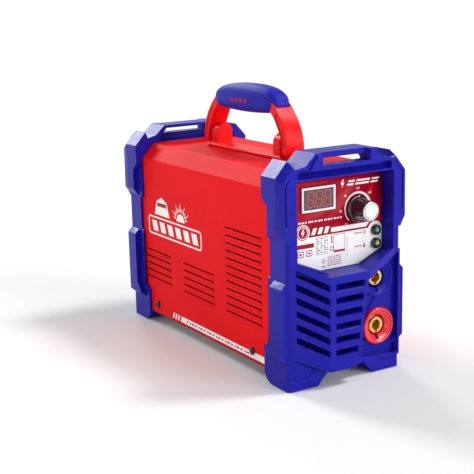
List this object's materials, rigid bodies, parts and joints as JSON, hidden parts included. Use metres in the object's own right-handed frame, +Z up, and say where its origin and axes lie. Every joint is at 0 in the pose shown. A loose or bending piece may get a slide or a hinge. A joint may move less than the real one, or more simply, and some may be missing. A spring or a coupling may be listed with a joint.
{
  "type": "stick welding inverter",
  "caption": "Portable stick welding inverter with bumpered end bezels, folded cover, carrying handle, current knob, display and weld sockets.",
  "frame": {"origin": "on the floor under the middle of the machine", "axes": "+Z up, +X to the right seen from the front, -Y towards the front panel"},
  "size_m": [0.152, 0.3594, 0.2886],
  "materials": {
    "blue_moulding": "satin moulded",
    "red_paint": "powder coat",
    "red_moulding": "satin moulded",
    "grip_rubber": "fine textured",
    "printed_panel": "printed film",
    "white_plastic": "satin",
    "black_plastic": "satin moulded",
    "smoke_lens": "polished",
    "green_lens": "polished",
    "yellow_lens": "polished",
    "red_ring": "satin",
    "brass": "machined",
    "steel": "zinc plated",
    "aluminium": "extruded",
    "circuit_board": "solder mask",
    "ferrite": "sintered",
    "copper": "enamelled",
    "capacitor_sleeve": "shrink sleeve"
  },
  "bodies": {
    "case": {"base_plate": "steel", "cable_gland": "black_plastic", "capacitor_1": "capacitor_sleeve", "capacitor_2": "capacitor_sleeve", "capacitor_3": "capacitor_sleeve", "control_board": "circuit_board", "control_panel": "printed_panel", "cover_screw_front_left": "steel", "cover_screw_front_right": "steel", "cover_screw_rear_left": "steel", "cover_screw_rear_right": "steel", "display_frame": "white_plastic", "display_module": "black_plastic", "display_window": "smoke_lens", "earth_stud": "brass", "fan_frame": "black_plastic", "fan_guard": "steel", "front_bezel": "blue_moulding", "gland_nut": "black_plastic", "handle_base": "red_moulding", "handle_pin_front": "steel", "handle_pin_rear": "steel", "handle_screw_front": "steel", "handle_screw_rear": "steel", "heatsink_left": "aluminium", "heatsink_right": "aluminium", "main_board": "circuit_board", "negative_busbar": "copper", "negative_contact": "brass", "negative_socket_nut": "steel", "negative_socket_ring": "blue_moulding", "output_choke": "copper", "overheat_lamp": "yellow_lens", "overheat_lamp_holder": "black_plastic", "positive_busbar": "copper", "positive_contact": "brass", "positive_socket_nut": "steel", "positive_socket_ring": "red_ring", "potentiometer": "aluminium", "power_lamp": "green_lens", "power_lamp_holder": "black_plastic", "rear_bezel": "blue_moulding", "rectifier_bridge": "black_plastic", "switch_housing": "black_plastic", "switch_module_left_front": "black_plastic", "switch_module_left_rear": "black_plastic", "switch_module_right_front": "black_plastic", "switch_module_right_rear": "black_plastic", "top_cover": "red_paint", "transformer_core": "ferrite", "transformer_winding": "copper"},
    "handle": {"handle_frame": "red_moulding", "handle_grip": "grip_rubber"},
    "knob": {"current_knob": "black_plastic", "knob_cap": "white_plastic", "potentiometer_shaft": "steel"},
    "fan": {"fan_rotor": "black_plastic"},
    "rocker": {"switch_rocker": "black_plastic"}
  },
  "joints": [
    {"name": "handle_swing", "type": "hinge", "parent": "case", "child": "handle", "pos_m": [0, 0, 0.229], "axis": [0, 1, 0], "range_deg": [-80, 80]},
    {"name": "current_dial", "type": "hinge", "parent": "case", "child": "knob", "pos_m": [0.0282, -0.1677, 0.1693], "axis": [0, 1, 0], "range_deg": [-150, 150]},
    {"name": "fan_spin", "type": "hinge", "parent": "case", "child": "fan", "pos_m": [0, 0.1677, 0.075], "axis": [0, 1, 0], "continuous": true},
    {"name": "power_rocker", "type": "hinge", "parent": "case", "child": "rocker", "pos_m": [0.032, 0.154, 0.172], "axis": [-1, 0, 0], "range_deg": [0, 24]}
  ]
}
